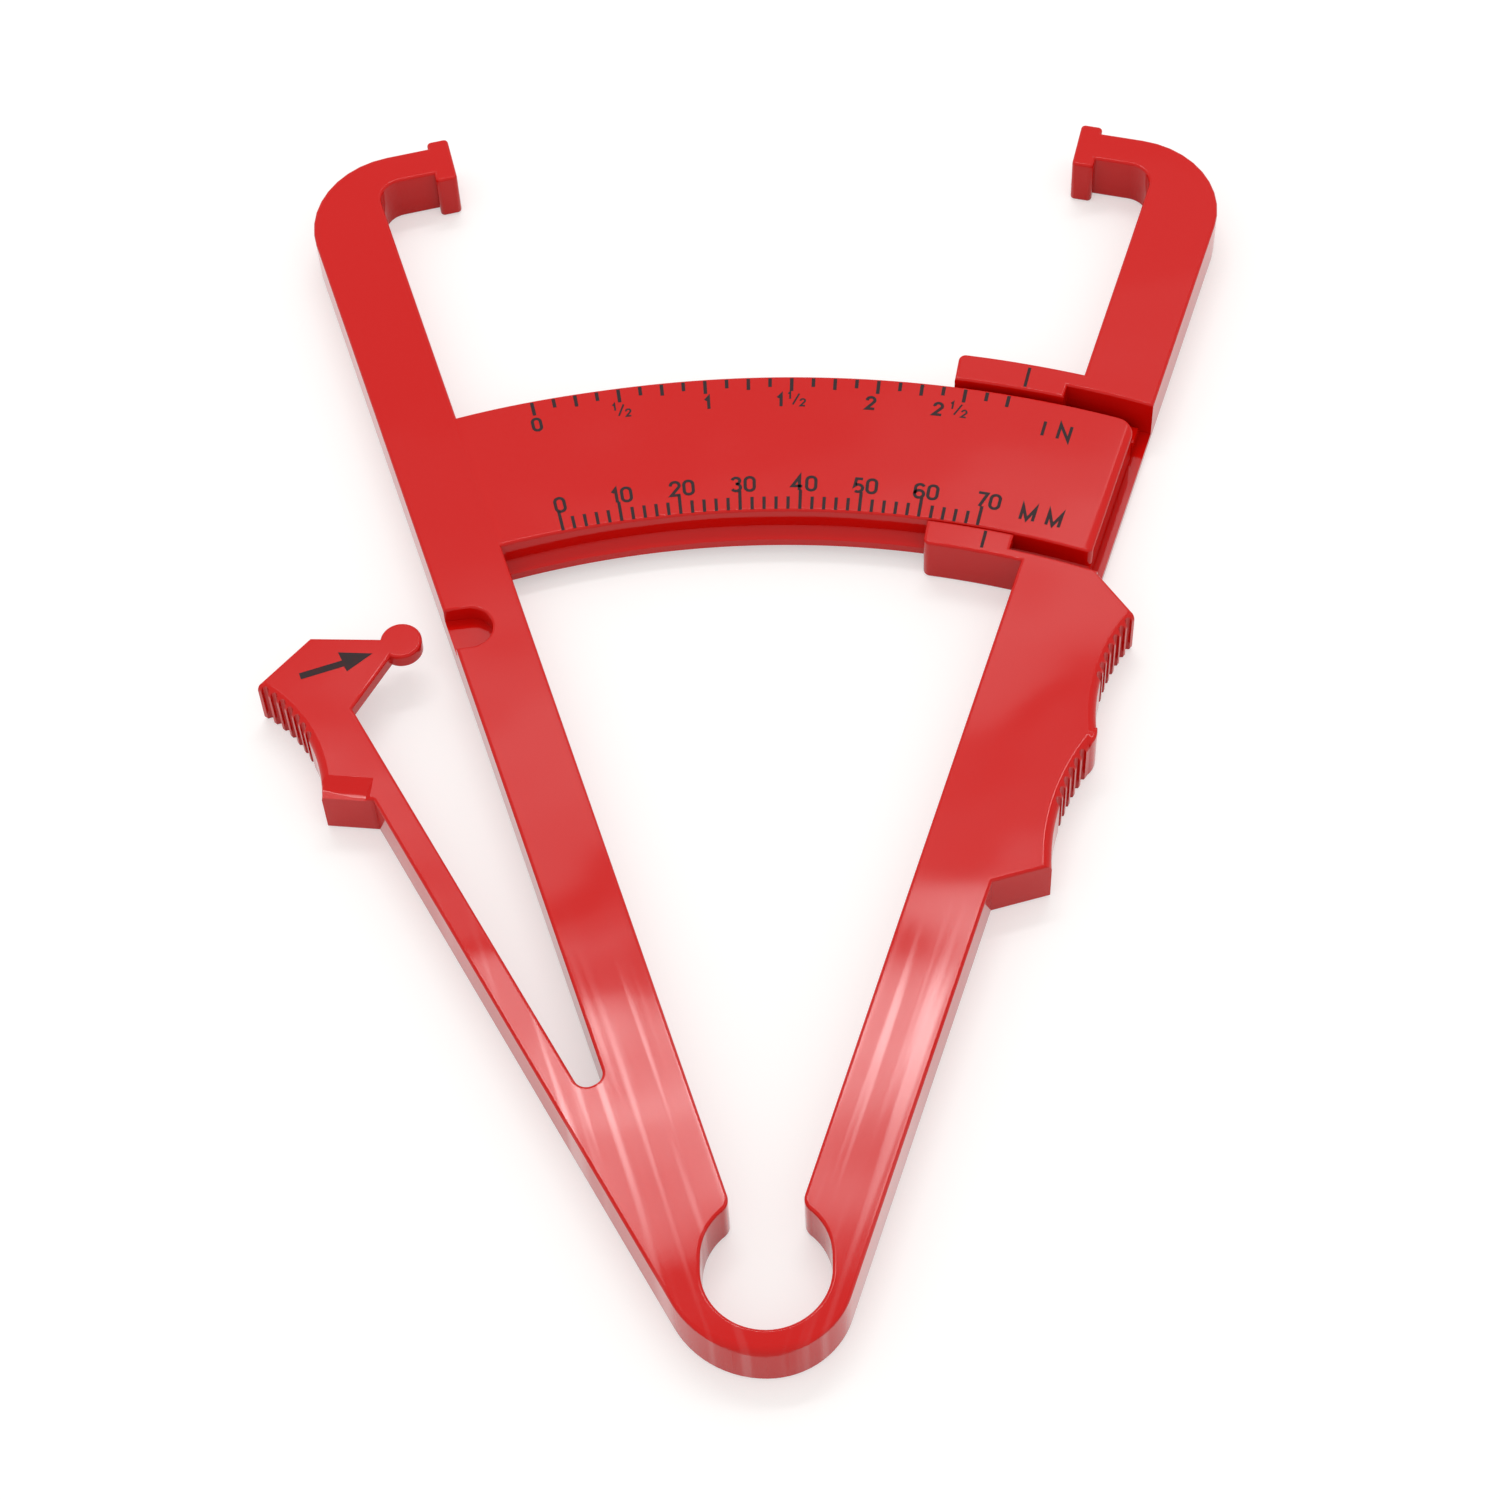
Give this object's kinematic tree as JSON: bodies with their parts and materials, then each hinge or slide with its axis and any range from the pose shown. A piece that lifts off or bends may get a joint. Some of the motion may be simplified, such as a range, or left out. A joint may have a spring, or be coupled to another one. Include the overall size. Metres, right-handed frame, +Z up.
{
  "type": "skinfold caliper",
  "caption": "Sprung plastic skinfold caliper with long arms, hooked jaws, a curved scale that slides through a channel, and a clicking thumb lever on a slim flexing beam.",
  "frame": {"origin": "centre of the footprint's bounding box, on the surface that the caliper lies on", "axes": "+Z up out of the face that carries the scale; +Y from the loop spring to the jaws; +X towards the arm with the channel and the finger grip"},
  "size_m": [0.1038, 0.151, 0.006],
  "materials": {
    "red_plastic": "glossy moulded, with a printed scale"
  },
  "bodies": {
    "frame": {"left_arm": "red_plastic", "left_hook": "red_plastic", "left_pad": "red_plastic", "scale_sector": "red_plastic", "loop_spring": "red_plastic", "lever_beam": "red_plastic"},
    "lever": {"thumb_pad": "red_plastic", "lever_head": "red_plastic", "click_disc": "red_plastic"},
    "arm": {"right_arm": "red_plastic", "right_hook": "red_plastic", "right_pad": "red_plastic", "upper_index_tab": "red_plastic", "lower_index_tab": "red_plastic", "finger_grip": "red_plastic"}
  },
  "joints": [
    {"name": "arm_close", "type": "hinge", "parent": "frame", "child": "arm", "pos_m": [0.00087, -0.07447, 0.003], "axis": [0, 0, 1], "range_deg": [0, 26.9], "stiffness_Nm_per_rad": 0.74, "deforming": ["loop_spring"]},
    {"name": "lever_press", "type": "hinge", "parent": "frame", "child": "lever", "pos_m": [-0.0242, -0.03788, 0.003], "axis": [0, 0, -1], "range_deg": [0, 9.2], "stiffness_Nm_per_rad": 0.75, "deforming": ["lever_beam"]}
  ]
}
